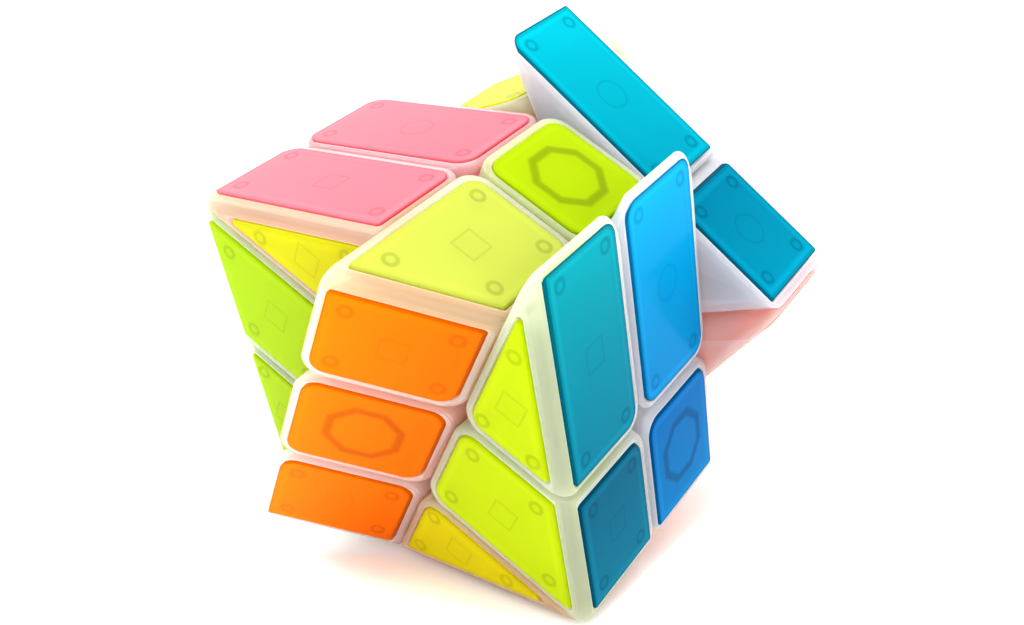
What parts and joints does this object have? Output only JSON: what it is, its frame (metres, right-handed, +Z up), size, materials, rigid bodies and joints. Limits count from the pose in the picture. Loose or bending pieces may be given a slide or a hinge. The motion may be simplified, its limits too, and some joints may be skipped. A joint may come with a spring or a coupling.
{
  "type": "windmill twisty puzzle",
  "caption": "Translucent twisty cube puzzle with slanted slices, coloured caps in frosted housings and a sprung inner core, standing half-turned on its corners.",
  "frame": {"origin": "middle of the bounding box, on the surface that the puzzle stands on", "axes": "+Z is up as the puzzle stands on three corners, +Y is away from a viewer in front, +X is to that viewer's right"},
  "size_m": [0.0902, 0.0902, 0.0802],
  "materials": {
    "frosted_housing": "frosted translucent, satin",
    "core_plastic": "satin",
    "steel": "plated",
    "cap_yellow": "translucent, glossy",
    "cap_white": "translucent, glossy",
    "cap_orange": "translucent, glossy",
    "cap_pink": "translucent, glossy",
    "cap_blue": "translucent, glossy",
    "cap_green": "translucent, glossy"
  },
  "bodies": {
    "root": {"cap_centre_bottom": "cap_white", "cap_centre_left": "cap_green", "cap_centre_right": "cap_blue", "cap_centre_top": "cap_yellow", "cap_edge_bottom_left": "cap_green", "cap_edge_bottom_right": "cap_orange", "cap_edge_top_left": "cap_pink", "cap_edge_top_right": "cap_blue", "centre_bottom": "frosted_housing", "centre_left": "frosted_housing", "centre_right": "frosted_housing", "centre_top": "frosted_housing", "core": "core_plastic", "edge_bottom_left": "frosted_housing", "edge_bottom_right": "frosted_housing", "edge_top_left": "frosted_housing", "edge_top_right": "frosted_housing", "screw_back": "steel", "screw_bottom": "steel", "screw_front": "steel", "screw_left": "steel", "screw_right": "steel", "screw_top": "steel", "spring_back": "steel", "spring_bottom": "steel", "spring_front": "steel", "spring_left": "steel", "spring_right": "steel", "spring_top": "steel"},
    "front_layer": {"cap_centre_front": "cap_orange", "cap_edge_front_bottom": "cap_white", "cap_edge_front_left": "cap_yellow", "cap_edge_front_right": "cap_yellow", "cap_edge_front_top": "cap_yellow", "centre_front": "frosted_housing", "corner_front_bottom_left": "frosted_housing", "corner_front_bottom_right": "frosted_housing", "corner_front_top_left": "frosted_housing", "corner_front_top_right": "frosted_housing", "edge_front_bottom": "frosted_housing", "edge_front_left": "frosted_housing", "edge_front_right": "frosted_housing", "edge_front_top": "frosted_housing"},
    "back_layer": {"cap_centre_back": "cap_pink", "cap_edge_back_bottom": "cap_white", "cap_edge_back_left": "cap_white", "cap_edge_back_right": "cap_white", "cap_edge_back_top": "cap_yellow", "centre_back": "frosted_housing", "corner_back_bottom_left": "frosted_housing", "corner_back_bottom_right": "frosted_housing", "corner_back_top_left": "frosted_housing", "corner_back_top_right": "frosted_housing", "edge_back_bottom": "frosted_housing", "edge_back_left": "frosted_housing", "edge_back_right": "frosted_housing", "edge_back_top": "frosted_housing"}
  },
  "joints": [
    {"name": "front_layer_turn", "type": "hinge", "parent": "root", "child": "front_layer", "pos_m": [-0.00214, -0.00092, 0.03508], "axis": [-0.6161, -0.7417, -0.2652], "continuous": true},
    {"name": "back_layer_turn", "type": "hinge", "parent": "root", "child": "back_layer", "pos_m": [-0.00214, -0.00092, 0.03508], "axis": [0.6161, 0.7417, 0.2652], "continuous": true}
  ]
}
